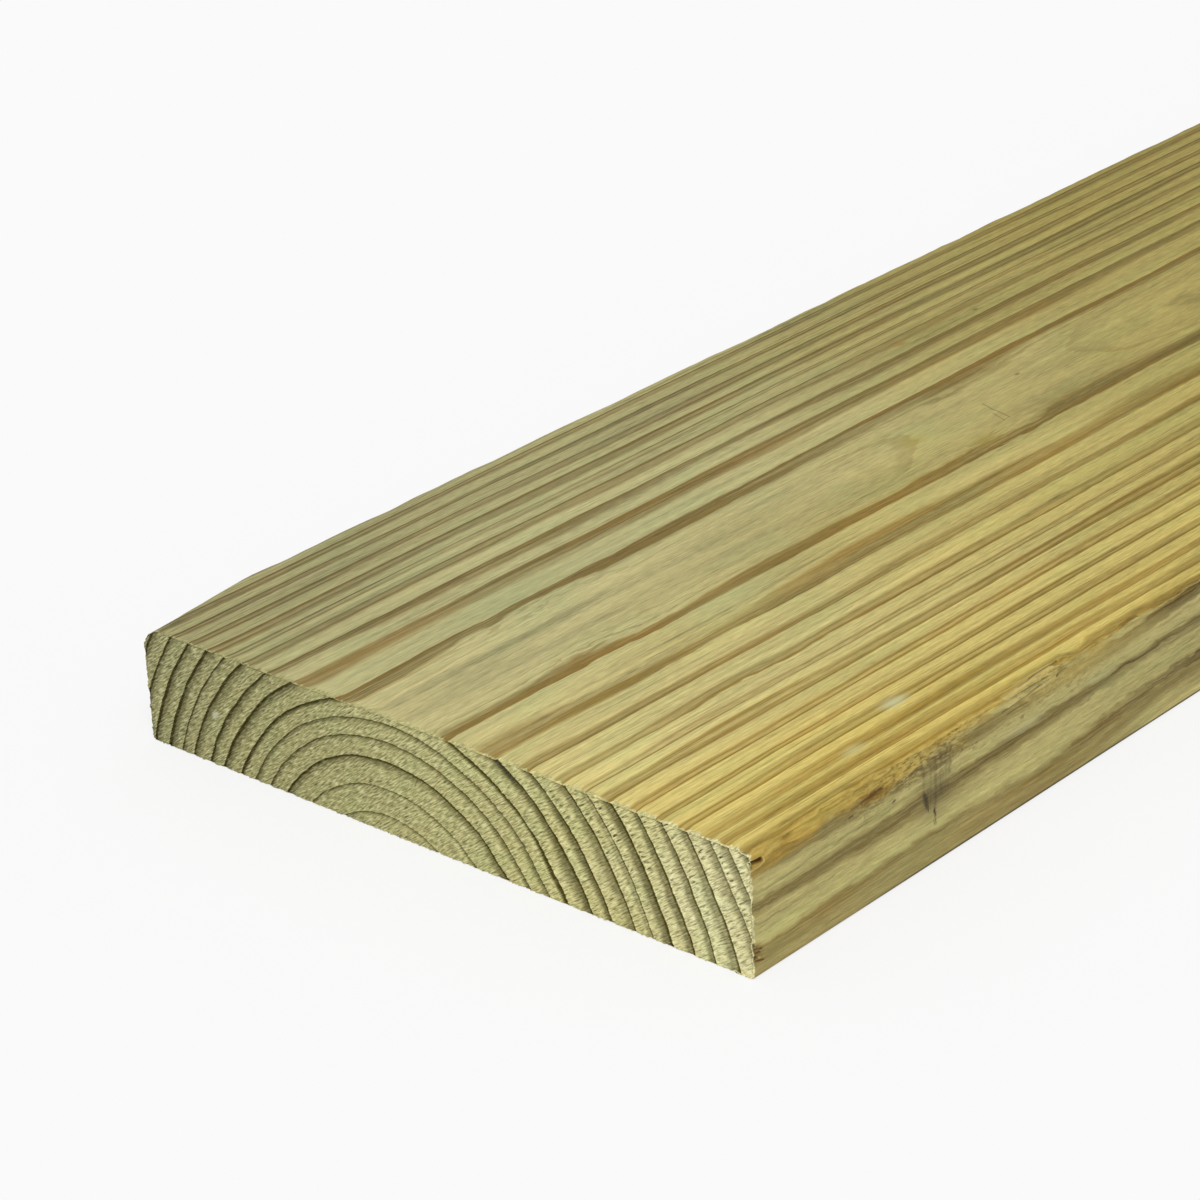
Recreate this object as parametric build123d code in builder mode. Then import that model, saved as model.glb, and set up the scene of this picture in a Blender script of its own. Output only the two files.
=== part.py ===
"""Pressure-treated pine board, dressed from nominal 2 x 10 in. lumber, 8 ft long.

The board is one sawn piece and lies flat on its wide face. Lengths are in millimetres.
X runs across the width, Y along the grain, Z up. The origin is the centre of the bottom face.
"""

import os

from build123d import *

# Driving dimensions
board_thickness = 38.1  # 1-1/2 in. dressed
board_width = 234.95  # 9-1/4 in. dressed
board_length = 2438.4  # 8 ft stock length, sawn square at both ends
eased_edge_radius = 1.0  # all four long edges are barely eased
# Near upper left corner, worn off at a slant: how far in, down and along the board
worn_corner_across = 4.5
worn_corner_down = 4.2
worn_corner_along = 38.0

# The dressed section, standing on the bottom face, run along the grain both ways from the middle
with BuildPart() as board:
    with BuildSketch(Plane.XZ) as section:
        Rectangle(board_width, board_thickness, align=(Align.CENTER, Align.MIN))
        fillet(section.vertices(), radius=eased_edge_radius)
    extrude(amount=board_length / 2, both=True)

    # The worn corner, cut off by one slanting plane
    worn_plane = Plane(
        origin=(worn_corner_across - board_width / 2, -board_length / 2, board_thickness),
        z_dir=(-1 / worn_corner_across, -1 / worn_corner_along, 1 / worn_corner_down),
    )
    split(bisect_by=worn_plane, keep=Keep.BOTTOM)

board.part.label = "pine_board"

os.makedirs("parts", exist_ok=True)
export_step(board.part, "parts/pine_board.step")
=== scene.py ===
"""Pressure-treated pine board, dressed from 2 x 10 in. lumber, lying flat on a pale floor.

The board is one sawn piece. Its growth rings are one solid field round the pith, which lies just under the
board, so each ring line runs on from the sawn end over the planed faces. The field is written once, as
nodes, and both the colour of the wood and its relief read it.

Settings are in millimetres, and meshes in metres. A place on the board is measured from the middle of the
near end's lower edge: x to the right, y along the board, z up.
"""

from collections import namedtuple
from math import radians

import bmesh
import bpy
from mathutils import Matrix, Vector


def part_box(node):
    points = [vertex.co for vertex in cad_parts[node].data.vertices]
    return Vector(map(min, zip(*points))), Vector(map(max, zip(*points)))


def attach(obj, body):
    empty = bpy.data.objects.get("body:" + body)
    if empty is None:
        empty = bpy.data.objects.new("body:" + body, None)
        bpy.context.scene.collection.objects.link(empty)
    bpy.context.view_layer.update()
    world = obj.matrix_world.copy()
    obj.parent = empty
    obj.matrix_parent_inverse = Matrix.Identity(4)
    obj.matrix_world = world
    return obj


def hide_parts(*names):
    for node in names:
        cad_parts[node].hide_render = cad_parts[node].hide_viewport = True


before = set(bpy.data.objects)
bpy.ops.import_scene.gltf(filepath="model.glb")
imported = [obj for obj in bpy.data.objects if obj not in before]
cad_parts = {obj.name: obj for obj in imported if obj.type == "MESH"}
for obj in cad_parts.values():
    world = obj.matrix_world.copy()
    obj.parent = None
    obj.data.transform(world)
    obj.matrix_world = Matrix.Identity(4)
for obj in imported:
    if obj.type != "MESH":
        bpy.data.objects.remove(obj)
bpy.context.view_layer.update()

MM = 0.001  # metres
X, Y, Z = Vector((1, 0, 0)), Vector((0, 1, 0)), Vector((0, 0, 1))

# The dressed board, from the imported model
board_low, board_high = (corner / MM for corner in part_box("pine_board"))
board_size = board_high - board_low
board_middle = (board_high + board_low) / 2
# Where places on the board are measured from
start_corner = Vector((board_middle.x, board_low.y, board_low.z))
half_width = board_size.x / 2
thickness = board_size.z
length = board_size.y
eased_edge_radius = 1.0
# Near upper left corner, worn off at a slant: how far in, down and along, and how far the wear spreads
worn_across = 4.5
worn_down = 4.2
worn_along = 38.0
worn_spread = 1.3

# Cells that the board is cut into: from, to and step, across, up and along the board
steps_across = (
    (-half_width, -116, 0.37), (-116, -112, 0.8), (-112, 112, 1.2), (112, 116, 0.8), (116, half_width, 0.37),
)
steps_up = ((0, 1.2, 0.4), (1.2, 5, 0.95), (5, 33, 1.2), (33, 36.9, 0.8), (36.9, thickness, 0.4))
steps_along = (
    (0, 3.6, 0.6), (3.6, 12, 2.8), (12, 612, 15), (612, 2400, 90), (2400, 2436, 12), (2436, length, 0.8),
)
planed_face, planed_edge, sawn_end = range(3)  # the order of the board's finishes
edge_finish_start = 112.0  # the right edge's finish starts here
# Finer cells: on the near end, along the near part of the right edge, and along the upper left edge
near_end_cuts = 1
rough_edge_start = 110.0
rough_edge_end = 252.0
rough_edge_cuts = 7
left_edge_start = -113.0
left_edge_height = 34.0
left_edge_from, left_edge_to = 12.0, 612.0
left_edge_cuts = 3
# Flat map for baking: the near stretch that gets most room, its share, a margin, and each face's band
near_part = 600.0
near_share = 0.62
map_margin = 0.005
top_band, right_band, near_band = (0.005, 0.33), (0.34, 0.45), (0.46, 0.63)
bottom_band, left_band, far_band = (0.64, 0.83), (0.84, 0.91), (0.92, 0.995)

# Growth rings. The pith is where they are centred on the near end, and it rises along the board
pith_across = -21.4
pith_height = -29.8
pith_rise = 0.0033
ring_lean = 0.102  # rings are this much wider to the right of the pith
heart_radius = 18.0  # where the first ring starts
crown_across = -14.5  # where the top face cuts furthest into the rings, so that they run widest there
saw_slant = radians(36)  # of the fibres that the saw tore on the ends
# Outer edge of each ring, thickness of its dark latewood, how dark it is, and how far it is split in two
rings = (
    (26.5, 1.2, 0.7, 0.0),
    (35.1, 1.4, 0.75, 0.0),
    (43.9, 1.4, 0.8, 0.0),
    (52.8, 3.2, 1.0, 0.3),
    (59.3, 1.9, 0.85, 0.0),
    (65.1, 1.9, 0.8, 0.0),
    (68.25, 0.16, 0.3, 0.0),
    (69.1, 0.2, 0.4, 0.0),
    (70.9, 1.8, 1.3, 0.05),
    (78.4, 3.4, 1.0, 0.1),
    (84.5, 2.7, 1.0, 0.1),
    (92.0, 3.6, 0.95, 0.4),
    (97.2, 2.2, 0.9, 0.8),
    (103.3, 3.7, 1.25, 0.5),
    (109.9, 3.2, 1.25, 0.6),
    (116.3, 2.4, 1.2, 0.5),
    (123.2, 3.2, 1.2, 0.6),
    (129.3, 2.9, 0.9, 0.1),
    (134.2, 3.0, 0.9, 0.1),
    (138.9, 2.4, 0.85, 0.1),
    (144.5, 2.4, 0.8, 0.0),
    (151.0, 2.4, 0.8, 0.0),
)
# Waviness of the rings: size of the waves along x, y and z, and how far they move a ring
ring_waves = (((50, 420, 50), 0.5), ((14, 80, 14), 0.35))
ring_ripples = (((4, 24, 4), 0.15), ((1.6, 9, 1.6), 0.06))
# Places where the ripples are strongest: middle and reach
rippled_places = (
    ((-31, 85, 38), (11, 60, 30)),
    ((2, 75, 38), (11, 55, 30)),
    ((4, 262, 38), (11, 55, 30)),
    ((49, 85, 38), (8, 80, 30)),
    ((50, 235, 38), (8, 40, 30)),
    ((27, 110, 38), (7, 60, 30)),
)
# Places where the rings swell outwards or inwards: middle, reach and height
ring_swells = (
    ((0, 0, 19), (700, 5, 300), -0.3),
    ((-14.5, 300, 38), (25, 145, 60), 2.3),
    ((-30, 92, 38), (10, 34, 30), -0.7),
    ((0, 66, 38), (9, 26, 30), 0.55),
    ((3, 270, 38), (9, 30, 30), -0.5),
    ((48, 75, 38), (8, 40, 30), 0.4),
    ((50, 235, 38), (8, 30, 30), -0.4),
    ((120, 60, 10), (16, 500, 30), -1.2),
    ((117, 235, 20), (22, 110, 60), -1.3),
    ((117, 130, 4), (22, 40, 14), 0.3),
    ((118, 20, 22), (10, 60, 14), -0.35),
    ((118, 150, 23), (12, 120, 18), -0.9),
    ((113.5, 152, 38), (3.6, 9, 6), -1.6),
)

# Marks further right than this lie on the right edge, others on the top or an end
side_marks_start = 116.0
mark_depth_share = 0.35  # how much a mark's distance into the wood counts
# Torn grain: gaps from one place to another, with their half-width and depth
face_gaps = (
    ((-15.8, 283.3, 37.9), (-2.5, 279.6, 37.9), 0.6, 0.3),
    ((-8.6, 278.9, 37.9), (-2.0, 276.4, 37.9), 0.5, 0.25),
)
edge_gaps = (
    ((117.2, 0.2, 35.2), (117.2, 5.0, 34.6), 1.0, 1.0),
    ((117.2, 0.0, 10.5), (117.2, 0.6, 9.9), 0.9, 0.9),
    ((117.2, 0.3, 9.0), (117.2, 2.1, 8.7), 0.5, 0.7),
    ((117.2, 0.2, 6.6), (117.2, 1.2, 6.2), 0.9, 0.9),
    ((117.2, 2.9, 8.3), (117.2, 3.9, 8.2), 0.5, 0.6),
    ((117.2, 1.2, 7.5), (117.2, 3.2, 7.3), 0.45, 0.6),
    ((117.2, 1.6, 5.0), (117.2, 4.4, 4.6), 0.5, 0.6),
    ((117.2, 47.9, 33.0), (117.2, 57.1, 33.6), 0.8, 0.5),
    ((117.2, 42.4, 30.7), (117.2, 43.6, 31.0), 0.8, 0.5),
    ((117.2, 61.4, 27.4), (117.2, 62.4, 27.6), 0.7, 0.5),
    ((115.4, 122.0, 37.8), (114.6, 141.1, 37.8), 0.4, 0.3),
    ((114.9, 128.0, 37.8), (114.4, 142.1, 37.8), 0.55, 0.5),
    ((117.0, 122.0, 36.6), (116.8, 134.0, 36.9), 0.5, 0.3),
    ((116.2, 170.5, 37.6), (115.8, 180.2, 37.6), 0.5, 0.4),
    ((117.2, 112.1, 34.2), (117.2, 131.3, 35.3), 0.45, 0.35),
    ((117.2, 114.5, 32.6), (117.2, 124.0, 32.8), 0.45, 0.35),
    ((117.2, 138.1, 35.2), (117.2, 143.6, 35.6), 0.5, 0.5),
    ((117.2, 164.9, 11.3), (117.2, 188.1, 11.6), 0.45, 0.3),
    ((117.2, 150.0, 8.2), (117.2, 171.0, 8.8), 0.45, 0.3),
)
# Lifted slivers of pale wood beside them: from, to and half-width
slivers = (
    ((116.4, 114.5, 37.3), (115.5, 138.4, 37.8), 0.9),
    ((117.2, 115.0, 34.8), (117.2, 132.1, 34.9), 0.6),
    ((117.2, 5.7, 35.2), (117.2, 6.1, 33.9), 0.5),
    ((117.2, 6.1, 33.9), (117.2, 4.4, 33.2), 0.5),
    ((117.2, 4.4, 33.2), (117.2, 0.6, 33.0), 0.5),
    ((117.2, 0.8, 28.0), (117.2, 11.0, 27.7), 0.5),
    ((117.2, 9.3, 27.7), (117.2, 21.0, 27.6), 0.6),
    ((117.2, 44.5, 27.6), (117.2, 48.4, 28.1), 0.5),
    ((117.2, 64.4, 27.6), (117.2, 74.1, 27.8), 0.6),
    ((117.2, 80.9, 28.6), (117.2, 85.1, 28.9), 0.6),
    ((117.2, 88.6, 28.2), (117.2, 97.5, 28.6), 0.7),
    ((117.2, 1.0, 9.3), (117.2, 1.7, 8.9), 0.5),
    ((117.2, 0.7, 7.3), (117.2, 1.1, 7.1), 0.5),
    ((117.2, 2.4, 6.1), (117.2, 3.1, 5.7), 0.5),
    ((117.2, 36.0, 12.6), (117.2, 46.0, 13.6), 0.4),
)

# Sheen, roughness and fine relief of the wood
sheen = 0.08
planed_roughness = 0.68
sawn_roughness = 0.88
bump_strength = 0.6
planed_bump_depth = 0.12
sawn_bump_depth = 0.35

# Depths of the carved relief
least_depth = 0.02
planed_depth = 0.06
latewood_rise = 0.03
sliver_rise = 0.35
sawn_depth = 0.25
latewood_sink = 0.45
saw_stroke_depth = 0.16

# Studio: metres, and shares of white light
floor_reach = 30.0
floor_white = 0.85
floor_glow = 0.7
room_light = 0.55
key_light = 1.8
key_softness = radians(30)
key_from = Vector((0.5, -0.6, 1.0))

# Camera, fitted to the board's edges as the photograph shows them
camera_place = Vector((713.7, -1922.2, 548.7))
camera_azimuth = 42.54
camera_elevation = 25.25
camera_roll = -2.77
camera_lens = 120.1
camera_sight = 100.0  # metres


def shade(red, green, blue):
    """A colour on the 0 to 255 scale of a picture, as the linear colour that a shader takes."""
    def linear(level):
        share = level / 255
        return share / 12.92 if share <= 0.04045 else ((share + 0.055) / 1.055) ** 2.4
    return (linear(red), linear(green), linear(blue), 1.0)


# Streaks of colour on the right edge, smeared and wavering: from, to, half-width, colour and strength
scuff_colour = shade(60, 51, 38)
pale_colour = shade(190, 181, 122)
streaks = (
    ((117.2, 0.0, 27.9), (117.2, 110.0, 28.2), 1.1, pale_colour, 0.5),
    ((117.2, 110.0, 28.3), (117.2, 250.0, 29.8), 1.2, pale_colour, 0.45),
    ((117.2, 74.5, 36.0), (117.2, 76.1, 20.1), 1.3, scuff_colour, 0.3),
    ((117.2, 76.3, 23.2), (117.2, 77.2, 18.5), 1.9, scuff_colour, 0.85),
    ((117.2, 80.9, 33.0), (117.2, 80.6, 17.0), 1.2, scuff_colour, 0.35),
    ((117.2, 80.5, 17.0), (117.2, 80.7, 12.5), 0.9, scuff_colour, 0.95),
    ((117.2, 78.4, 30.0), (117.2, 78.6, 17.0), 0.8, scuff_colour, 0.25),
    ((117.2, 83.2, 35.0), (117.2, 83.6, 21.0), 1.3, scuff_colour, 0.3),
    ((117.2, 85.5, 35.0), (117.2, 85.8, 20.9), 1.3, scuff_colour, 0.28),
    ((117.2, 88.0, 34.0), (117.2, 87.2, 26.0), 1.2, scuff_colour, 0.35),
)
# Spots of colour: middle, reach, colour and strength
face_stains = (
    ((93.4, 93.3, 38.1), (4.0, 9.0, 4.0), shade(206, 206, 160), 0.7),
    ((102.2, 63.4, 38.1), (3.4, 8.0, 4.0), shade(208, 200, 138), 0.6),
    ((-16.0, 245.0, 38.1), (6.0, 9.0, 4.0), shade(160, 150, 70), 0.5),
    ((2.7, 259.4, 38.1), (6.0, 11.0, 4.0), shade(150, 132, 60), 0.6),
    ((-71.0, 310.0, 38.1), (3.0, 6.0, 4.0), shade(150, 116, 58), 0.6),
    ((-69.0, 351.0, 38.1), (1.0, 2.4, 4.0), shade(90, 76, 44), 0.8),
    ((-22.0, 311.0, 38.1), (1.0, 2.4, 4.0), shade(96, 84, 48), 0.8),
    ((-50.0, 25.0, 38.1), (7.0, 70.0, 4.0), shade(160, 122, 58), 0.35),
    ((-44.0, 90.0, 38.1), (12.0, 60.0, 4.0), shade(172, 178, 128), 0.25),
    ((12.0, 118.0, 38.1), (9.0, 40.0, 4.0), shade(186, 188, 136), 0.25),
)
edge_stains = (
    ((117.0, 52.0, 33.0), (6.0, 9.0, 2.6), shade(112, 78, 34), 0.7),
    ((117.0, 122.0, 25.6), (6.0, 16.0, 2.4), shade(188, 182, 134), 0.5),
    ((117.0, 160.0, 26.5), (6.0, 16.0, 1.8), shade(180, 174, 126), 0.4),
    ((117.0, 81.0, 24.0), (6.0, 13.0, 17.0), shade(104, 92, 64), 0.55),
    ((117.0, 92.0, 32.4), (6.0, 10.0, 3.6), shade(150, 130, 68), 0.45),
    ((117.0, 1.5, 7.4), (6.0, 4.0, 5.0), shade(112, 84, 42), 0.6),
    ((117.0, 150.0, 33.5), (6.0, 60.0, 5.0), shade(186, 168, 99), 0.65),
)
# Marks on the near end, and painted shade on its worn upper left corner: from, to, half-width, colour and
# strength
end_marks_and_shade = (
    ((25.8, 0.0, 37.6), (32.2, 0.0, 33.2), 1.4, shade(54, 52, 44), 0.75),
    # Painted shade on the worn upper left corner
    ((-117.0, 0.0, 34.8), (-115.0, 0.0, 36.0), 2.6, shade(80, 76, 46), 0.6),
    ((-89.0, 0.0, 16.4), (-87.6, 0.0, 17.4), 1.5, shade(208, 208, 184), 0.7),
    ((-6.2, 0.0, 19.4), (-4.9, 0.0, 22.6), 0.4, shade(60, 54, 28), 0.7),
    ((4.6, 0.0, 18.2), (6.2, 0.0, 20.6), 0.4, shade(60, 54, 28), 0.6),
    ((34.8, 0.0, 20.8), (37.2, 0.0, 23.0), 0.4, shade(54, 48, 24), 0.7),
    ((56.6, 0.0, 9.0), (59.4, 0.0, 11.4), 0.4, shade(54, 48, 24), 0.6),
    ((20.0, 0.0, 8.6), (22.4, 0.0, 10.4), 0.5, shade(54, 48, 24), 0.6),
)


# Building nodes

def feed(tree, socket, value):
    """Links a socket to another one, or sets its number."""
    if isinstance(value, bpy.types.NodeSocket):
        tree.links.new(value, socket)
    elif value is not None:
        socket.default_value = value


def put(tree, kind, *values, **settings):
    """Adds a node, sets what it does, and feeds its inputs in order."""
    node = tree.nodes.new(kind)
    for name, value in settings.items():
        setattr(node, name, value)
    for socket, value in zip(node.inputs, values):
        feed(tree, socket, value)
    return node


def maths(tree, operation, *values):
    return put(tree, "ShaderNodeMath", *values, operation=operation).outputs[0]


def within(tree, value):
    """A value kept between 0 and 1."""
    return maths(tree, "MINIMUM", maths(tree, "MAXIMUM", value, 0.0), 1.0)


def vector(tree, operation, *values):
    node = put(tree, "ShaderNodeVectorMath", *values, operation=operation)
    return node.outputs[1 if operation in ("LENGTH", "DOT_PRODUCT") else 0]


def parts_of(tree, place):
    """The x, y and z of a place."""
    return put(tree, "ShaderNodeSeparateXYZ", place).outputs


def ease(tree, value, start, end):
    """0 at start and 1 at end, smooth between them and level beyond."""
    return put(
        tree, "ShaderNodeMapRange", value, start, end, 0.0, 1.0, interpolation_type="SMOOTHSTEP", clamp=False
    ).outputs[0]


def cloud(tree, place, lump, detail=2.0, roughness=0.5):
    """Soft noise about zero, whose lumps have this size along x, y and z."""
    scaled = vector(tree, "DIVIDE", place, lump)
    return put(
        tree, "ShaderNodeTexNoise", scaled, None, 1.0, detail, roughness, normalize=False
    ).outputs[0]


def blend(tree, share, first, second, how="MIX"):
    """Mixes two colours."""
    node = put(tree, "ShaderNodeMix", share, data_type="RGBA", blend_type=how)
    feed(tree, node.inputs[6], first)
    feed(tree, node.inputs[7], second)
    return node.outputs[2]


def lighten(tree, colour, amount):
    """Makes a colour lighter or darker by a share of itself."""
    return blend(tree, 1.0, colour, maths(tree, "ADD", amount, 1.0), "MULTIPLY")


def colours_along(tree, value, start, end, *stops):
    """A colour that goes from stop to stop, evenly spaced, as the value goes from start to end."""
    share = put(tree, "ShaderNodeMapRange", value, start, end, clamp=False).outputs[0]
    node = put(tree, "ShaderNodeValToRGB", share)
    elements = node.color_ramp.elements
    elements[0].color = stops[0]
    elements[1].color = stops[-1]
    for index, colour in enumerate(stops[1:-1], start=1):
        elements.new(index / (len(stops) - 1)).color = colour
    return node.outputs[0]


def near_spot(tree, place, middle, reach):
    """1 at the middle of an oval spot, falling to 0 at its reach."""
    off = vector(tree, "DIVIDE", vector(tree, "SUBTRACT", place, middle), reach)
    return ease(tree, vector(tree, "LENGTH", off), 1.0, 0.0)


def near_line(tree, place, start, end, reach):
    """1 on the straight line from start to end, falling to 0 at its reach. A mark counts through the depth
    of the relief, so its distance into the top, right edge or near end that carries it is cut down."""
    way = Vector(end) - Vector(start)
    off = vector(tree, "SUBTRACT", place, start)
    share = within(tree, vector(tree, "DOT_PRODUCT", off, way / way.length_squared))
    off = vector(tree, "SUBTRACT", off, vector(tree, "SCALE", way, None, None, share))
    if start[0] > side_marks_start:
        flattened = (mark_depth_share, 1.0, 1.0)
    elif start[1] == end[1]:
        flattened = (1.0, mark_depth_share, 1.0)
    else:
        flattened = (1.0, 1.0, mark_depth_share)
    return ease(tree, vector(tree, "LENGTH", vector(tree, "MULTIPLY", off, flattened)), reach, 0.0)


def strongest(tree, values):
    """The largest of several values."""
    most = values[0]
    for value in values[1:]:
        most = maths(tree, "MAXIMUM", most, value)
    return most


# The growth of the log

def ring_count(tree, radius):
    """Counts the rings out to a radius. Each whole number is the outer edge of a ring."""
    count = None
    inner = heart_radius
    for outer, *_ in rings:
        passed = within(tree, put(tree, "ShaderNodeMapRange", radius, inner, outer, clamp=False).outputs[0])
        count = passed if count is None else maths(tree, "ADD", count, passed)
        inner = outer
    return count


def ring_character(tree, count):
    """Looks up the latewood share, darkness and splitting of the ring that a count lies in."""
    place = maths(tree, "DIVIDE", maths(tree, "ADD", maths(tree, "FLOOR", count), 0.5), len(rings))
    node = put(tree, "ShaderNodeValToRGB", place)
    node.color_ramp.interpolation = "CONSTANT"
    elements = node.color_ramp.elements
    elements[1].position = (len(rings) - 1) / len(rings)
    for index in range(1, len(rings) - 1):
        elements.new(index / len(rings))
    inner = heart_radius
    for element, (outer, latewood, *rest) in zip(elements, rings):
        element.color = (latewood / (outer - inner), *rest, 1.0)
        inner = outer
    return parts_of(tree, node.outputs[0])


Ring = namedtuple("Ring", "inside outward darkness split radius")


def growth(tree, place):
    """Reads the log at a place: how far inside the outer edge of the latewood it lies, how far out in its
    ring, how dark and how split that latewood is, and the radius."""
    x, along, z = parts_of(tree, place)
    out = maths(tree, "SUBTRACT", x, pith_across)
    up = maths(tree, "SUBTRACT", z, maths(tree, "MULTIPLY_ADD", along, pith_rise, pith_height))
    distance = maths(tree, "SQRT", maths(tree, "MULTIPLY_ADD", out, out, maths(tree, "MULTIPLY", up, up)))
    radius = maths(tree, "MULTIPLY_ADD", out, -ring_lean, distance)
    off_crown = maths(tree, "ABSOLUTE", maths(tree, "SUBTRACT", x, crown_across))
    lively = maths(tree, "MULTIPLY_ADD", ease(tree, off_crown, 6, 26), 0.65, 0.35)
    for lump, swing in ring_waves:
        wave = maths(tree, "MULTIPLY", cloud(tree, place, lump), swing)
        radius = maths(tree, "MULTIPLY_ADD", wave, lively, radius)
    straight = maths(tree, "MULTIPLY_ADD", ease(tree, x, 112, 116.5), -0.85, 1.0)
    rippled = strongest(tree, [near_spot(tree, place, *spot) for spot in rippled_places])
    ripple = maths(tree, "MULTIPLY_ADD", rippled, 3.5, maths(tree, "MULTIPLY", lively, straight))
    for lump, swing in ring_ripples:
        wave = maths(tree, "MULTIPLY", cloud(tree, place, lump), swing)
        radius = maths(tree, "MULTIPLY_ADD", wave, ripple, radius)
    for middle, reach, height in ring_swells:
        radius = maths(tree, "MULTIPLY_ADD", near_spot(tree, place, middle, reach), height, radius)
    count = ring_count(tree, radius)
    outward = maths(tree, "FRACT", count)
    share, darkness, split = ring_character(tree, count)
    thicker = maths(tree, "MULTIPLY_ADD", cloud(tree, place, (30, 150, 30)), 0.5, 1.0)
    inward = maths(tree, "SUBTRACT", 1.0, outward)
    inside = maths(tree, "DIVIDE", inward, maths(tree, "MULTIPLY", share, thicker))
    return Ring(inside, outward, darkness, split, radius)


def unsplit(tree, ring, paleness):
    """How much of the latewood's darkness is left by the pale line that splits it."""
    off_line = maths(tree, "ABSOLUTE", maths(tree, "SUBTRACT", ring.inside, 0.45))
    line = maths(tree, "MULTIPLY", ease(tree, off_line, 0.3, 0.08), ring.split)
    return maths(tree, "MULTIPLY", maths(tree, "MULTIPLY_ADD", line, -paleness, 1.0), ring.darkness)


def planed_latewood(tree, ring, x):
    """Darkness of the latewood on a planed face: a band that deepens outwards and stops short, softer on the
    right edge."""
    soft = maths(tree, "MULTIPLY_ADD", ease(tree, x, 112, 116.5), 0.15, 0.14)
    fading = maths(tree, "MULTIPLY_ADD", ease(tree, x, 112, 116.5), 0.1, 0.5)
    deepening = maths(tree, "SUBTRACT", 1.0, maths(tree, "MULTIPLY", ring.inside, fading))
    band = maths(tree, "MULTIPLY", ease(tree, ring.inside, 1.15, 0.8), ease(tree, ring.inside, 0.0, soft))
    return maths(tree, "MULTIPLY", maths(tree, "MULTIPLY", band, deepening), unsplit(tree, ring, 0.9))


def sawn_latewood(tree, ring, x):
    """Darkness of the latewood on a sawn end: it deepens outwards and stops short, and is fullest right of
    the middle. The dark line at its outer edge is partly painted shade under the next ring's raised lip."""
    fullness = maths(tree, "MULTIPLY_ADD", ease(tree, x, -20, 30), 0.08, 0.76)
    fullness = maths(tree, "MULTIPLY_ADD", ease(tree, x, 80, 110), -0.1, fullness)
    inner_edge = maths(tree, "MULTIPLY_ADD", ease(tree, x, -20, 40), 0.2, 0.2)
    body = maths(tree, "MULTIPLY", ease(tree, ring.inside, 1.22, inner_edge), fullness)
    # A dark line at the outer edge: partly the latewood's own colour, partly painted shade under the next
    # ring's lip
    band = maths(tree, "MULTIPLY_ADD", ease(tree, ring.inside, 0.4, 0.12), 0.3, body)
    soft = maths(tree, "MULTIPLY_ADD", ease(tree, x, 40, 85), 0.14, 0.06)
    band = maths(tree, "MULTIPLY", band, ease(tree, ring.inside, -0.02, soft))
    return maths(tree, "MINIMUM", maths(tree, "MULTIPLY", band, unsplit(tree, ring, 0.45)), 1.0)


def place_on_board(tree, where):
    """A position in metres as a place on the board."""
    return vector(tree, "MULTIPLY_ADD", where, (1 / MM, 1 / MM, 1 / MM), -start_corner)


def deepest(tree, place, gaps):
    """How deep each place lies in a gap of torn grain, in millimetres."""
    depths = []
    for start, end, reach, depth in gaps:
        depths.append(maths(tree, "MULTIPLY", near_line(tree, place, start, end, reach), depth))
    return strongest(tree, depths)


def all_slivers(tree, place):
    """1 on the lifted slivers, 0 off them."""
    return strongest(tree, [near_line(tree, place, *sliver) for sliver in slivers])


def saw_grain(tree, place, outward):
    """Torn fibres of a sawn end, slanting as the blade left them, with rows of beads at the right."""
    x, _, z = parts_of(tree, place)
    turn = put(tree, "ShaderNodeVectorRotate", place, None, None, saw_slant, rotation_type="Y_AXIS")
    turned = turn.outputs[0]
    grain = cloud(tree, turned, (3.0, 8.0, 0.46), 1.5, 0.62)
    wander = maths(tree, "MULTIPLY", cloud(tree, place, (5, 8, 5)), 3.0)
    turns = maths(tree, "MULTIPLY_ADD", parts_of(tree, turned)[2], 3.7, wander)
    notch = ease(tree, maths(tree, "SINE", turns), 0.1, 0.8)
    row = maths(tree, "MULTIPLY", ease(tree, outward, 0.03, 0.12), ease(tree, outward, 0.5, 0.25))
    patch = maths(tree, "MULTIPLY", ease(tree, x, 30, 62), ease(tree, z, 8, 24))
    patch = maths(tree, "MULTIPLY", patch, ease(tree, cloud(tree, place, (9, 20, 9)), -0.3, 0.15))
    beads = maths(tree, "MULTIPLY", row, patch)
    return maths(tree, "MULTIPLY_ADD", beads, maths(tree, "MULTIPLY_ADD", notch, -0.95, 0.35), grain)


def from_end(tree, along):
    """How far a place along the board is from the nearer end."""
    return maths(tree, "MINIMUM", along, maths(tree, "SUBTRACT", length, along))


def fringe(tree, place, late):
    """How far the torn fibres of a sawn end reach along the planed faces, less over the hard latewood."""
    x = parts_of(tree, place)[0]
    ragged = maths(tree, "MULTIPLY_ADD", cloud(tree, place, (2.0, 40, 2.0), 2.0, 0.6), 1.8, 1.6)
    softness = maths(tree, "MULTIPLY_ADD", late, -0.85, 1.0)
    shorter = maths(tree, "MULTIPLY_ADD", ease(tree, x, 112, 117), -0.5, 1.0)
    softness = maths(tree, "MULTIPLY", softness, shorter)
    return maths(tree, "MULTIPLY_ADD", ragged, softness, 0.2)


# Finishes

def start_material(name):
    """A material with its node tree, its shader and the place on the board that it colours."""
    material = bpy.data.materials.new(name)
    material.use_nodes = True
    tree = material.node_tree
    where = put(tree, "ShaderNodeTexCoord").outputs["Object"]
    return material, tree, tree.nodes["Principled BSDF"], place_on_board(tree, where)


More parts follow.
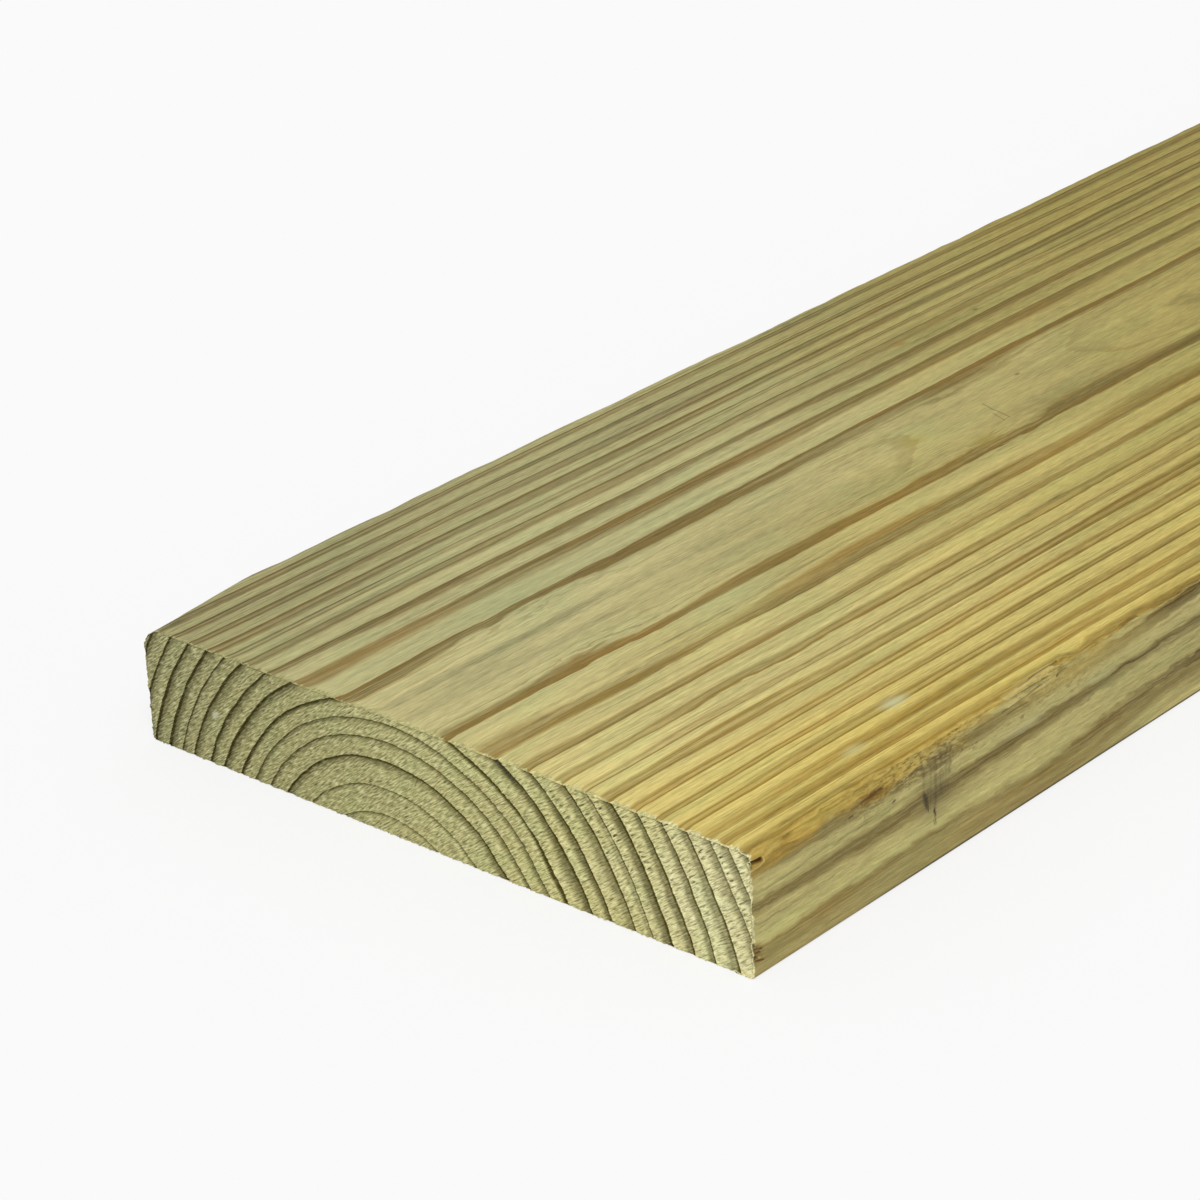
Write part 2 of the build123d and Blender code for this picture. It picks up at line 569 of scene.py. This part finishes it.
def finish_material(tree, shader, colour, roughness, height, bump_depth):
    """Sets the shader's sheen, and links a colour, a roughness and a fine relief to it."""
    shader.inputs["Specular IOR Level"].default_value = sheen
    tree.links.new(colour, shader.inputs["Base Color"])
    tree.links.new(roughness, shader.inputs["Roughness"])
    bump = put(tree, "ShaderNodeBump")
    bump.inputs["Strength"].default_value = bump_strength
    bump.inputs["Distance"].default_value = bump_depth * MM
    tree.links.new(height, bump.inputs["Height"])
    tree.links.new(bump.outputs[0], shader.inputs["Normal"])


def sawn_earlywood(tree, drift):
    """Pale earlywood where a saw has torn it, lighter to the right: partly its own colour, partly painted
    light falling from the right.
    """
    return colours_along(
        tree, drift, -117, 117,
        shade(156, 152, 107), shade(165, 160, 110), shade(184, 179, 124), shade(200, 193, 132),
        shade(222, 215, 162),
    )


def planed_colours(tree, place, ring):
    """Colours of the planed faces' wood: olive-tan, warmer to the right and browner along the board."""
    x, along, z = parts_of(tree, place)
    drift = maths(tree, "MULTIPLY_ADD", cloud(tree, place, (45, 160, 45)), 26.0, x)
    reach = maths(tree, "MULTIPLY_ADD", cloud(tree, place, (70, 120, 70)), 50.0, along)
    reach = maths(tree, "MULTIPLY_ADD", ease(tree, x, -50, 10), 100.0, reach)
    further = ease(tree, reach, 120, 480)
    early_near = colours_along(
        tree, drift, -117, 117,
        shade(169, 161, 114), shade(183, 175, 125), shade(190, 180, 127), shade(213, 195, 125),
        shade(211, 188, 106),
    )
    early_far = colours_along(
        tree, drift, -117, 117,
        shade(157, 141, 79), shade(169, 153, 87), shade(168, 153, 90), shade(185, 167, 95),
        shade(187, 165, 88),
    )
    late_near = colours_along(
        tree, drift, -117, 117,
        shade(104, 91, 50), shade(116, 98, 50), shade(126, 105, 52), shade(144, 121, 58),
        shade(148, 121, 46),
    )
    late_far = colours_along(
        tree, drift, -117, 117,
        shade(102, 87, 36), shade(110, 92, 38), shade(116, 96, 40), shade(122, 102, 38), shade(122, 100, 34),
    )
    early_colour = blend(tree, further, early_near, early_far)
    late_colour = blend(tree, further, late_near, late_far)

    # The right edge is weathered grey-brown below a golden strip that thins along the board
    strip = ease(tree, x, 113.6, 116.4)
    early_colour = blend(tree, strip, early_colour, shade(186, 158, 80))
    late_colour = blend(tree, strip, late_colour, shade(134, 106, 44))
    ragged = maths(tree, "MULTIPLY_ADD", cloud(tree, place, (4, 22, 4), 3.0, 0.6), 5.0, z)
    level = maths(tree, "MULTIPLY_ADD", along, -0.048, ragged)
    weathered = maths(tree, "MULTIPLY", ease(tree, x, 115.6, 117.2), ease(tree, level, 34.0, 28.6))
    side_colour = blend(tree, ease(tree, along, 100, 230), shade(183, 171, 112), shade(181, 168, 110))
    early_colour = blend(tree, weathered, early_colour, side_colour)
    side_late = blend(tree, ease(tree, z, 6, 17), shade(122, 98, 48), shade(96, 76, 32))
    side_late = lighten(tree, side_late, maths(tree, "MULTIPLY", ease(tree, along, 140, 190), -0.3))
    late_colour = blend(tree, weathered, late_colour, side_late)

    # Each ring starts greenish and turns warm towards its latewood
    young = maths(tree, "MULTIPLY", ease(tree, ring.outward, 0.45, 0.02), 0.35)
    greenish = blend(tree, 1.0, early_colour, (0.93, 1.02, 0.98, 1.0), "MULTIPLY")
    early_colour = blend(tree, young, early_colour, greenish)
    rust = ease(tree, cloud(tree, place, (9, 70, 9)), -0.2, 0.3)
    rust = maths(tree, "MULTIPLY", rust, ease(tree, x, 116, 110))
    warm_late = blend(tree, 1.0, late_colour, (1.13, 1.03, 0.93, 1.0), "MULTIPLY")
    return early_colour, blend(tree, rust, late_colour, warm_late)


def planed_grain(tree, place, ring, late):
    """The latewood broken into strands, the light and dark of the wood's fibres with painted shade over the
    top's near left, and the finest of them.
    """
    x, along, _ = parts_of(tree, place)
    sideways = maths(tree, "MULTIPLY", x, 0.2)
    in_ring = put(tree, "ShaderNodeCombineXYZ", ring.radius, along, sideways).outputs[0]
    strand = cloud(tree, in_ring, (0.9, 140, 6), 3.0, 0.65)
    thread = cloud(tree, place, (0.6, 90, 0.6), 2.0, 0.6)
    broken = maths(tree, "MULTIPLY_ADD", strand, 0.6, maths(tree, "MULTIPLY_ADD", thread, 0.45, 1.05))
    late = maths(tree, "MINIMUM", maths(tree, "MULTIPLY", late, broken), 1.0)
    tone = maths(tree, "MULTIPLY_ADD", strand, 0.12, maths(tree, "MULTIPLY", thread, 0.12))
    line = ease(tree, cloud(tree, in_ring, (0.8, 130, 5), 1.0), 0.28, 0.5)
    tone = maths(tree, "MULTIPLY_ADD", line, -0.2, tone)
    fibre = cloud(tree, place, (0.55, 6, 0.55), 3.0, 0.6)
    tone = maths(tree, "MULTIPLY_ADD", fibre, 0.2, tone)
    tone = maths(tree, "MULTIPLY_ADD", cloud(tree, place, (5, 120, 5), 2.0, 0.55), 0.16, tone)
    resin = ease(tree, cloud(tree, place, (0.5, 14, 0.5), 1.0), 0.3, 0.5)
    resin = maths(tree, "MULTIPLY", resin, ease(tree, cloud(tree, place, (22, 60, 22)), 0.1, 0.4))
    tone = maths(tree, "MULTIPLY_ADD", resin, -0.22, tone)
    # Painted shade over the near left of the top
    shaded_corner = near_spot(tree, place, (-100, 20, 38), (70, 170, 60))
    tone = maths(tree, "MULTIPLY_ADD", shaded_corner, -0.12, tone)
    tone = maths(tree, "MULTIPLY_ADD", ease(tree, along, 65, 10), 0.05, tone)
    return late, tone, fibre


def stained(tree, place, colour, stains):
    """Lays spots of colour over a finish."""
    for middle, spread, stain_colour, strength in stains:
        mask = maths(tree, "MULTIPLY", near_spot(tree, place, middle, spread), strength)
        colour = blend(tree, mask, colour, stain_colour)
    return colour


def torn(tree, place, colour, gaps):
    """Darkens the gaps of torn grain: the torn wood's brown, and painted shade that deepens with the gap's
    depth.
    """
    # Painted shade in the gaps, darker the deeper they are, over the brown of the torn wood
    hollow = maths(tree, "MINIMUM", maths(tree, "MULTIPLY", deepest(tree, place, gaps), 1.6), 1.0)
    return blend(tree, hollow, colour, shade(84, 56, 24))


def crumbled(tree, place, colour):
    """Crumbled wood along the top of the right edge, pale and dark."""
    x, along, z = parts_of(tree, place)
    where = maths(tree, "MULTIPLY", ease(tree, x, 114.5, 117.0), ease(tree, z, 24, 31))
    where = maths(tree, "MULTIPLY", where, ease(tree, cloud(tree, place, (8, 22, 8)), -0.3, 0.2))
    stretch = maths(tree, "MULTIPLY", ease(tree, along, 25, 70), ease(tree, along, 190, 140))
    where = maths(tree, "MULTIPLY", where, stretch)
    crumb = cloud(tree, place, (0.9, 3.4, 0.9), 2.0, 0.7)
    pale = maths(tree, "MULTIPLY", where, ease(tree, crumb, 0.16, 0.42))
    colour = blend(tree, maths(tree, "MULTIPLY", pale, 0.55), colour, shade(198, 180, 110))
    dark = maths(tree, "MULTIPLY", where, ease(tree, crumb, -0.16, -0.42))
    return blend(tree, maths(tree, "MULTIPLY", dark, 0.6), colour, shade(100, 80, 40))


def edge_marks_and_shade(tree, place, colour):
    """Crumbs, stains, scuffs, slivers and gaps of the right edge, and painted shade along its lower edge."""
    x, along, z = parts_of(tree, place)
    colour = stained(tree, place, crumbled(tree, place, colour), edge_stains)
    smear = within(tree, maths(tree, "MULTIPLY_ADD", cloud(tree, place, (2, 0.8, 5), 2.0, 0.7), 1.6, 1.0))
    waver = maths(tree, "MULTIPLY", cloud(tree, place, (4, 4, 4)), 0.6)
    wavering = vector(tree, "ADD", place, put(tree, "ShaderNodeCombineXYZ", 0.0, waver, 0.0).outputs[0])
    for start, end, spread, streak_colour, strength in streaks:
        mask = maths(tree, "MULTIPLY", near_line(tree, wavering, start, end, spread), strength)
        colour = blend(tree, maths(tree, "MULTIPLY", mask, smear), colour, streak_colour)
    lifted = maths(tree, "MULTIPLY", all_slivers(tree, place), 0.55)
    colour = blend(tree, lifted, colour, shade(210, 194, 128))
    colour = torn(tree, place, colour, edge_gaps)
    # Painted shade along the lower edge, stronger past the first few centimetres of the board
    lower_edge_shade = maths(tree, "MULTIPLY", ease(tree, x, 115.7, 116.5), ease(tree, z, 1.5, 0.7))
    lower_edge_shade_strength = maths(tree, "MULTIPLY_ADD", ease(tree, along, 30, 80), 0.75, 0.15)
    lower_edge_shade = maths(tree, "MULTIPLY", lower_edge_shade, lower_edge_shade_strength)
    return blend(tree, lower_edge_shade, colour, shade(62, 54, 34))


def face_marks(tree, place, colour):
    """Stains and a crack on the top face."""
    return torn(tree, place, stained(tree, place, colour, face_stains), face_gaps)


def planed_wood(name, marks_and_shade):
    """Planed wood with the marks and painted shade of one part of the board."""
    material, tree, shader, place = start_material(name)
    x, along, _ = parts_of(tree, place)
    ring = growth(tree, place)
    early_colour, late_colour = planed_colours(tree, place, ring)
    late, tone, fibre = planed_grain(tree, place, ring, planed_latewood(tree, ring, x))
    colour = lighten(tree, blend(tree, late, early_colour, late_colour), tone)
    green = ease(tree, cloud(tree, place, (13, 48, 13)), 0.02, 0.45)
    greener = blend(tree, 1.0, colour, (0.94, 1.01, 1.0, 1.0), "MULTIPLY")
    colour = blend(tree, maths(tree, "MULTIPLY", green, 0.6), colour, greener)
    colour = marks_and_shade(tree, place, colour)

    # Torn fibres at the sawn ends
    tuft = cloud(tree, place, (0.8, 2.2, 0.8), 2.0, 0.7)
    tuft_colour = lighten(tree, sawn_earlywood(tree, x), maths(tree, "MULTIPLY", tuft, 0.5))
    over_fringe = maths(tree, "SUBTRACT", from_end(tree, along), fringe(tree, place, late))
    colour = blend(tree, ease(tree, over_fringe, 0.2, -0.4), colour, tuft_colour)

    roughness = maths(tree, "MULTIPLY_ADD", late, -0.1, planed_roughness)
    finish_material(tree, shader, colour, roughness, fibre, planed_bump_depth)
    return material


def sawn_wood():
    """Sawn end: pale torn earlywood between dark rings."""
    material, tree, shader, place = start_material("sawn_treated_pine")
    x = parts_of(tree, place)[0]
    ring = growth(tree, place)
    late = sawn_latewood(tree, ring, x)
    drift = maths(tree, "MULTIPLY_ADD", cloud(tree, place, (30, 60, 30)), 30.0, x)
    # Latewood lighter to the right: partly its own colour, partly painted light falling from the right
    late_colour = colours_along(
        tree, drift, -117, 117,
        shade(62, 56, 22), shade(62, 56, 19), shade(80, 74, 27), shade(73, 65, 20), shade(94, 85, 40),
    )
    colour = blend(tree, late, sawn_earlywood(tree, drift), late_colour)
    grain = saw_grain(tree, place, ring.outward)
    strength = maths(tree, "MULTIPLY_ADD", late, -0.3, 0.82)
    colour = lighten(tree, colour, maths(tree, "MULTIPLY", grain, strength))
    # Painted highlights where the tips of the torn fibres catch the light, weaker on the latewood
    tip_highlight_strength = maths(tree, "MULTIPLY_ADD", late, -0.28, 0.36)
    tip_highlights = maths(tree, "MULTIPLY", ease(tree, grain, 0.1, 0.55), tip_highlight_strength)
    colour = blend(tree, tip_highlights, colour, shade(214, 211, 180))
    # Painted highlight on the raised lip of earlywood just outside each latewood band
    lip_highlight = ease(tree, ring.outward, 0.14, 0.02)
    colour = lighten(tree, colour, maths(tree, "MULTIPLY", lip_highlight, 0.14))
    tint = ease(tree, cloud(tree, place, (12, 30, 12)), 0.0, 0.4)
    greener = blend(tree, 1.0, colour, (0.94, 1.02, 1.0, 1.0), "MULTIPLY")
    colour = blend(tree, maths(tree, "MULTIPLY", tint, 0.5), colour, greener)
    for start, end, spread, mark_and_shade_colour, strength in end_marks_and_shade:
        mask = maths(tree, "MULTIPLY", near_line(tree, place, start, end, spread), strength)
        colour = blend(tree, mask, colour, mark_and_shade_colour)
    roughness = maths(tree, "MULTIPLY_ADD", late, -0.05, sawn_roughness)
    finish_material(tree, shader, colour, roughness, grain, sawn_bump_depth)
    return material


# The board

def places_between(steps):
    """Places to cut at, from the first start to the last end, without those two."""
    places = []
    for start, end, step in steps:
        count = max(1, round((end - start) / step))
        places += [start + (end - start) * index / count for index in range(count)]
    return places[1:]


def slice_across(mesh, axis, places):
    """Cuts the whole mesh square to an axis at each place."""
    for place in places:
        everything = mesh.verts[:] + mesh.edges[:] + mesh.faces[:]
        cut = start_corner.dot(axis) + place
        bmesh.ops.bisect_plane(mesh, geom=everything, plane_co=axis * cut * MM, plane_no=axis)


def edge_way(edge):
    """The direction of an edge, without its sign."""
    way = (edge.verts[1].co - edge.verts[0].co).normalized()
    return Vector((abs(way.x), abs(way.y), abs(way.z)))


def edge_place(edge):
    """The middle of an edge, as a place on the board."""
    return (edge.verts[0].co + edge.verts[1].co) / 2 / MM - start_corner


def cut_finer(mesh, wanted, cuts):
    """Divides the edges that are wanted."""
    edges = [edge for edge in mesh.edges if wanted(edge_place(edge), edge_way(edge))]
    bmesh.ops.subdivide_edges(mesh, edges=edges, cuts=cuts, use_grid_fill=True)


def on_near_end(place, way):
    return place.y < 0.01


def along_rough_edge(place, way):
    return place.x > rough_edge_start and place.y < rough_edge_end and way.y > 0.9


def along_left_edge(place, way):
    upper_left = place.x < left_edge_start and place.z > left_edge_height
    return upper_left and left_edge_from < place.y < left_edge_to and way.y > 0.9


def lay_out_map(mesh):
    """Lays the six faces out on a flat map, side by side, with most room for the near end and near part."""
    layer = mesh.loops.layers.uv.new("OFBake")
    bands = {
        (2, 1): top_band, (0, 1): right_band, (1, -1): near_band,
        (2, -1): bottom_band, (0, -1): left_band, (1, 1): far_band,
    }
    for face in mesh.faces:
        axis = max(range(3), key=lambda index: abs(face.normal[index]))
        low, high = bands[axis, 1 if face.normal[axis] > 0 else -1]
        for loop in face.loops:
            place = loop.vert.co / MM - start_corner
            across = (place.x + half_width) / board_size.x
            if axis == 1:
                u, v = across, place.z / thickness
            else:
                u = min(place.y, near_part) / near_part * near_share
                u += max(place.y - near_part, 0) / (length - near_part) * (1 - near_share)
                v = across if axis == 2 else place.z / thickness
            loop[layer].uv = (map_margin + (1 - 2 * map_margin) * u, low + (high - low) * v)


def ease_long_edges(mesh):
    """Rounds the four long edges, drawing each corner of the section in to a quarter disc."""
    reach_x = board_size.x / 2 - eased_edge_radius
    reach_z = board_size.z / 2 - eased_edge_radius
    for vert in mesh.verts:
        off = vert.co / MM - board_middle
        across = (abs(off.x) - reach_x) / eased_edge_radius
        up = (abs(off.z) - reach_z) / eased_edge_radius
        if across <= 0 or up <= 0:
            continue
        round_x = reach_x + eased_edge_radius * across * (1 - up * up / 2) ** 0.5
        round_z = reach_z + eased_edge_radius * up * (1 - across * across / 2) ** 0.5
        off.x = round_x if off.x > 0 else -round_x
        off.z = round_z if off.z > 0 else -round_z
        vert.co = (board_middle + off) * MM


def wear_corner(mesh):
    """Presses the near upper left corner in to the slanting plane that it is worn to."""
    corner = Vector((-half_width, 0, thickness))
    slope = Vector((1 / worn_across, 1 / worn_along, -1 / worn_down))
    for vert in mesh.verts:
        depth = slope.dot(vert.co / MM - start_corner - corner)
        if depth < worn_spread:
            pressed = 1 + depth * (1 - 1 / worn_spread)
            vert.co += slope * ((pressed - depth) / slope.length_squared) * MM


def relief_depth(tree, place, normal):
    """How far each place is sunk below the board's block, in millimetres."""
    x, along, z = parts_of(tree, place)
    ring = growth(tree, place)
    late = planed_latewood(tree, ring, x)
    to_side = maths(tree, "SUBTRACT", half_width, maths(tree, "ABSOLUTE", x))
    to_face = maths(tree, "ABSOLUTE", maths(tree, "SUBTRACT", z, thickness / 2))
    to_face = maths(tree, "SUBTRACT", thickness / 2, to_face)
    fray = maths(tree, "MULTIPLY_ADD", cloud(tree, place, (1.1, 5, 1.1), 2.0, 0.7), 0.4, 0.12)

    # Planed faces: raised latewood, worn long edges, torn grain at the right edge, frayed ends
    planed = maths(tree, "MULTIPLY_ADD", late, -latewood_rise, planed_depth)
    corner = ease(tree, maths(tree, "MAXIMUM", to_side, to_face), 5.0, 1.0)
    wear = maths(tree, "MULTIPLY_ADD", cloud(tree, place, (8, 26, 8), 3.0, 0.6), 0.4, 0.14)
    wear = maths(tree, "MULTIPLY", wear, maths(tree, "MULTIPLY_ADD", ease(tree, x, 100, 116), 1.6, 1.0))
    wear = maths(tree, "MULTIPLY", wear, ease(tree, z, 4, 34))
    planed = maths(tree, "MULTIPLY_ADD", corner, wear, planed)
    rough = maths(tree, "MULTIPLY", ease(tree, x, 112, 117), ease(tree, along, 320, 180))
    rough = maths(tree, "MULTIPLY", rough, ease(tree, z, 3, 14))
    tear = maths(tree, "MULTIPLY_ADD", cloud(tree, place, (1.4, 11, 1.4), 3.0, 0.65), 0.45, 0.12)
    planed = maths(tree, "MULTIPLY_ADD", rough, tear, planed)
    planed = maths(tree, "ADD", planed, deepest(tree, place, face_gaps + edge_gaps))
    planed = maths(tree, "MULTIPLY_ADD", all_slivers(tree, place), -sliver_rise, planed)
    over_fringe = maths(tree, "SUBTRACT", from_end(tree, along), fringe(tree, place, late))
    low = maths(tree, "MULTIPLY_ADD", ease(tree, z, 4.0, 0.0), 1.2, 1.0)
    frayed = maths(tree, "MULTIPLY", fray, low)
    planed = maths(tree, "MULTIPLY_ADD", ease(tree, over_fringe, 0.4, -1.4), frayed, planed)

    # Sawn ends: sunk latewood, torn earlywood, frayed borders
    sawn = maths(tree, "MULTIPLY_ADD", sawn_latewood(tree, ring, x), latewood_sink, sawn_depth)
    sawn = maths(tree, "MULTIPLY_ADD", saw_grain(tree, place, ring.outward), -saw_stroke_depth, sawn)
    border = ease(tree, maths(tree, "MINIMUM", to_side, to_face), 1.8, 0.0)
    sawn = maths(tree, "MULTIPLY_ADD", border, fray, sawn)

    facing = maths(tree, "ABSOLUTE", parts_of(tree, normal)[1])
    depth = put(tree, "ShaderNodeMix", ease(tree, facing, 0.5, 0.9), None, planed, sawn).outputs[0]
    return maths(tree, "MAXIMUM", depth, least_depth)


def carve_relief(board):
    """Sinks the board's surfaces by the depth of their relief."""
    tree = bpy.data.node_groups.new("wood_relief", "GeometryNodeTree")
    for way in ("INPUT", "OUTPUT"):
        tree.interface.new_socket("Geometry", in_out=way, socket_type="NodeSocketGeometry")
    source = put(tree, "NodeGroupInput").outputs[0]
    where = put(tree, "GeometryNodeInputPosition").outputs[0]
    normal = put(tree, "GeometryNodeInputNormal").outputs[0]
    depth = relief_depth(tree, place_on_board(tree, where), normal)
    offset = vector(tree, "SCALE", normal, None, None, maths(tree, "MULTIPLY", depth, -MM))
    moved = put(tree, "GeometryNodeSetPosition", source, None, None, offset).outputs[0]
    put(tree, "NodeGroupOutput", moved)
    modifier = board.modifiers.new("relief", "NODES")
    modifier.node_group = tree
    shaped = bpy.data.meshes.new_from_object(board.evaluated_get(bpy.context.evaluated_depsgraph_get()))
    board.modifiers.clear()
    board.data = shaped


def finish_of(face):
    """Which of the board's finishes a face of the block takes."""
    if abs(face.normal.y) > 0.5:
        return sawn_end
    middle = face.calc_center_median() / MM - start_corner
    return planed_edge if middle.x > edge_finish_start else planed_face


def planed_board():
    """The whole board: a block cut into small cells, eased along its edges, with the grain carved in."""
    mesh = bmesh.new()
    bmesh.ops.create_cube(mesh, size=1.0)
    bmesh.ops.scale(mesh, vec=board_size * MM, verts=mesh.verts)
    bmesh.ops.translate(mesh, vec=board_middle * MM, verts=mesh.verts)
    slice_across(mesh, X, places_between(steps_across))
    slice_across(mesh, Z, places_between(steps_up))
    slice_across(mesh, Y, places_between(steps_along))
    cut_finer(mesh, on_near_end, near_end_cuts)
    cut_finer(mesh, along_rough_edge, rough_edge_cuts)
    cut_finer(mesh, along_left_edge, left_edge_cuts)
    mesh.normal_update()
    lay_out_map(mesh)
    for face in mesh.faces:
        face.smooth = True
        face.material_index = finish_of(face)
    ease_long_edges(mesh)
    wear_corner(mesh)
    for edge in mesh.edges:
        edge.smooth = len({face.material_index == sawn_end for face in edge.link_faces}) == 1
    data = bpy.data.meshes.new("planed_board")
    mesh.to_mesh(data)
    mesh.free()
    data.materials.append(planed_wood("planed_face", face_marks))
    data.materials.append(planed_wood("planed_edge", edge_marks_and_shade))
    data.materials.append(sawn_wood())
    board = bpy.data.objects.new("planed_board", data)
    bpy.context.scene.collection.objects.link(board)
    carve_relief(board)
    return board


# The studio

def seen_directly(tree):
    """1 for rays that show a surface in the picture or in a reflection, 0 for rays that light things."""
    path = put(tree, "ShaderNodeLightPath").outputs
    return strongest(tree, [path["Is Camera Ray"], path["Is Glossy Ray"], path["Is Transmission Ray"]])


def pale_floor():
    """A wide white floor that keeps the board's soft shadow."""
    mesh = bmesh.new()
    bmesh.ops.create_grid(mesh, x_segments=1, y_segments=1, size=floor_reach)
    data = bpy.data.meshes.new("floor")
    mesh.to_mesh(data)
    mesh.free()
    material = bpy.data.materials.new("white_floor")
    material.use_nodes = True
    tree = material.node_tree
    tree.nodes.clear()
    matte = put(tree, "ShaderNodeBsdfDiffuse", (floor_white, floor_white, floor_white, 1.0))
    glow = put(tree, "ShaderNodeEmission", (1.0, 1.0, 1.0, 1.0), 1.0)
    share = maths(tree, "MULTIPLY", seen_directly(tree), floor_glow)
    surface = put(tree, "ShaderNodeMixShader", share, matte.outputs[0], glow.outputs[0])
    put(tree, "ShaderNodeOutputMaterial", surface.outputs[0])
    data.materials.append(material)
    floor = bpy.data.objects.new("floor", data)
    bpy.context.scene.collection.objects.link(floor)


def studio_light():
    """An even white room and a large soft key from the front right."""
    world = bpy.data.worlds.new("white_room")
    world.use_nodes = True
    tree = world.node_tree
    tree.nodes.clear()
    strength = maths(tree, "MULTIPLY_ADD", seen_directly(tree), 1 - room_light, room_light)
    room = put(tree, "ShaderNodeBackground", (1.0, 1.0, 1.0, 1.0), strength)
    put(tree, "ShaderNodeOutputWorld", room.outputs[0])
    bpy.context.scene.world = world
    key = bpy.data.lights.new("soft_key", "SUN")
    key.energy = key_light
    key.angle = key_softness
    lamp = bpy.data.objects.new("soft_key", key)
    lamp.rotation_euler = key_from.to_track_quat("Z", "Y").to_euler()
    bpy.context.scene.collection.objects.link(lamp)


def photo_camera():
    """A long lens at the photograph's place and angle."""
    data = bpy.data.cameras.new("camera")
    data.lens = camera_lens
    data.clip_end = camera_sight
    camera = bpy.data.objects.new("camera", data)
    turn = Matrix.Rotation(radians(camera_azimuth), 4, "Z")
    tilt = Matrix.Rotation(radians(90 - camera_elevation), 4, "X")
    roll = Matrix.Rotation(radians(camera_roll), 4, "Z")
    camera.matrix_world = Matrix.Translation(camera_place * MM) @ turn @ tilt @ roll
    bpy.context.scene.collection.objects.link(camera)
    bpy.context.scene.camera = camera


photo_camera()
board = planed_board()
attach(board, "root")
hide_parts("pine_board")
pale_floor()
studio_light()
bpy.context.scene.view_settings.view_transform = "Standard"
